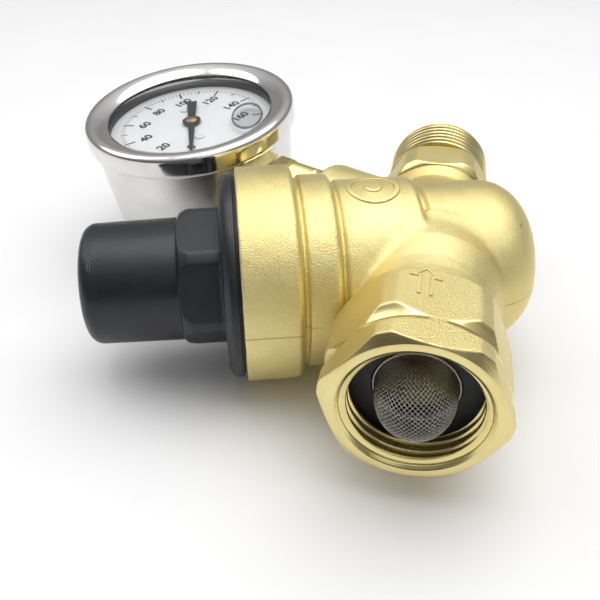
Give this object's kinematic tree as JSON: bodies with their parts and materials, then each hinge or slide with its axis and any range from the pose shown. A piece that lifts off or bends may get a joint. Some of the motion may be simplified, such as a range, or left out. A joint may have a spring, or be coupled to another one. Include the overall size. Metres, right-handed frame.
{
  "type": "water pressure regulator",
  "caption": "Brass hose-line water pressure regulator with black spring bonnet, domed inlet screen and bottom-entry round pressure gauge.",
  "frame": {"origin": "centre of the inlet mouth", "axes": "+Y along the flow towards the outlet, +Z out of the body on the side the gauge dial faces"},
  "size_m": [0.1234, 0.1248, 0.0486],
  "materials": {
    "brass_cast": "sand-cast, blasted, satin",
    "brass_machined": "turned, bright",
    "bonnet_black": "moulded, fine matt",
    "steel_polished": "polished stainless",
    "steel_satin": "drawn, satin",
    "spring_steel": "drawn wire",
    "screen_steel": "woven wire",
    "rubber_black": "moulded",
    "dial_white": "matt white print",
    "pointer_black": "satin black",
    "hub_bronze": "dull",
    "window_glass": "clear"
  },
  "bodies": {
    "body": {"valve_body": "brass_cast", "bonnet": "bonnet_black", "bonnet_gasket": "rubber_black", "range_spring": "spring_steel", "seat_sleeve": "brass_machined", "sleeve_oring": "rubber_black", "inlet_washer": "rubber_black", "screen_rim": "steel_satin", "screen_mesh": "screen_steel", "gauge_adapter": "brass_machined", "adapter_oring": "rubber_black", "gauge_stem": "brass_machined", "gauge_case": "steel_polished", "case_gasket": "rubber_black", "case_screws": "steel_satin", "fill_plug": "rubber_black", "gauge_bezel": "steel_polished", "gauge_window": "window_glass", "window_gasket": "rubber_black", "gauge_dial": "dial_white", "dial_screws": "steel_satin", "movement_plates": "brass_machined", "movement_pillars": "brass_machined", "bourdon_tube": "brass_machined", "tube_tip": "brass_machined"},
    "button": {"spring_button": "steel_satin"},
    "screw": {"adjusting_screw": "brass_machined"},
    "piston": {"piston": "brass_machined", "piston_oring": "rubber_black", "seat_disc": "rubber_black", "disc_holder": "brass_machined", "disc_nut": "steel_satin"},
    "sector": {"sector_gear": "brass_machined"},
    "link": {"gauge_link": "brass_machined"},
    "pointer": {"pointer_shaft": "steel_satin", "hairspring": "brass_machined", "gauge_pointer": "pointer_black", "pointer_hub": "hub_bronze"}
  },
  "joints": [
    {"name": "screw_feed", "type": "slide", "parent": "body", "child": "button", "axis": [0.9563, 0.2924, 0], "range_m": [-0.003, 0.003], "deforming": ["range_spring"]},
    {"name": "screw_turn", "type": "hinge", "parent": "button", "child": "screw", "pos_m": [-0.0679, 0.03024, 0], "axis": [0.9563, 0.2924, 0], "range_deg": [-720, 720]},
    {"name": "piston_slide", "type": "slide", "parent": "body", "child": "piston", "axis": [-0.9563, -0.2924, 0], "range_m": [0, 0.0018], "stiffness_N_per_m": 8000, "deforming": ["range_spring"]},
    {"name": "sector_swing", "type": "hinge", "parent": "body", "child": "sector", "pos_m": [-0.05894, 0.10282, 0.00874], "axis": [-0.0613, -0.1152, 0.9914], "range_deg": [0, 45]},
    {"name": "link_swing", "type": "hinge", "parent": "sector", "child": "link", "pos_m": [-0.05459, 0.10383, 0.00812], "axis": [-0.0613, -0.1152, 0.9914], "range_deg": [-45, 0]},
    {"name": "pointer_turn", "type": "hinge", "parent": "body", "child": "pointer", "pos_m": [-0.06999, 0.09274, 0.00991], "axis": [-0.0613, -0.1152, 0.9914], "range_deg": [-270, 0]}
  ],
  "couplings": [
    {"joint": "screw_turn", "follows": "screw_feed", "rad_per_m": 4188.8},
    {"joint": "pointer_turn", "follows": "sector_swing", "ratio": -6},
    {"joint": "link_swing", "follows": "sector_swing", "ratio": -1}
  ]
}
